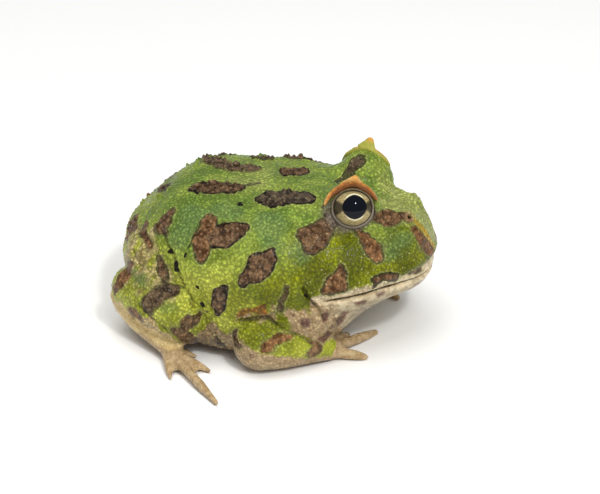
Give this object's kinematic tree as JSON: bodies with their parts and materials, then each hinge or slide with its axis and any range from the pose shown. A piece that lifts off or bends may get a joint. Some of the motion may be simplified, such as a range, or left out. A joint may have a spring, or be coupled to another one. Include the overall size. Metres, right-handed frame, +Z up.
{
  "type": "argentine horned frog",
  "caption": "Squat, wide-mouthed green horned frog at life size, resting on its belly with the head raised, forelegs forward and hind legs folded.",
  "frame": {"origin": "on the floor under the middle of the belly, on the body's middle plane", "axes": "+X towards the snout, +Y to the frog's left, +Z up"},
  "size_m": [0.0726, 0.0874, 0.0416],
  "materials": {
    "moist_skin_green": "moist, finely granular frog skin, green with brown blotches",
    "foot_skin_yellow": "smooth, pale yellow-tan skin of fingers and toes",
    "throat_skin_cream": "smooth cream throat skin",
    "lid_horn_orange": "soft orange skin horn on the upper eyelid",
    "wet_eye": "wet, glossy eyeball"
  },
  "bodies": {
    "root": {"torso": "moist_skin_green", "head": "moist_skin_green", "lower_jaw": "throat_skin_cream", "right_eye": "wet_eye", "left_eye": "wet_eye", "right_horn": "lid_horn_orange", "left_horn": "lid_horn_orange", "right_upper_arm": "moist_skin_green", "left_upper_arm": "moist_skin_green", "right_forearm": "moist_skin_green", "left_forearm": "moist_skin_green", "right_hand": "foot_skin_yellow", "left_hand": "foot_skin_yellow", "right_thigh": "moist_skin_green", "left_thigh": "moist_skin_green", "right_shank": "moist_skin_green", "left_shank": "moist_skin_green", "right_foot": "foot_skin_yellow", "left_foot": "foot_skin_yellow"}
  },
  "joints": []
}
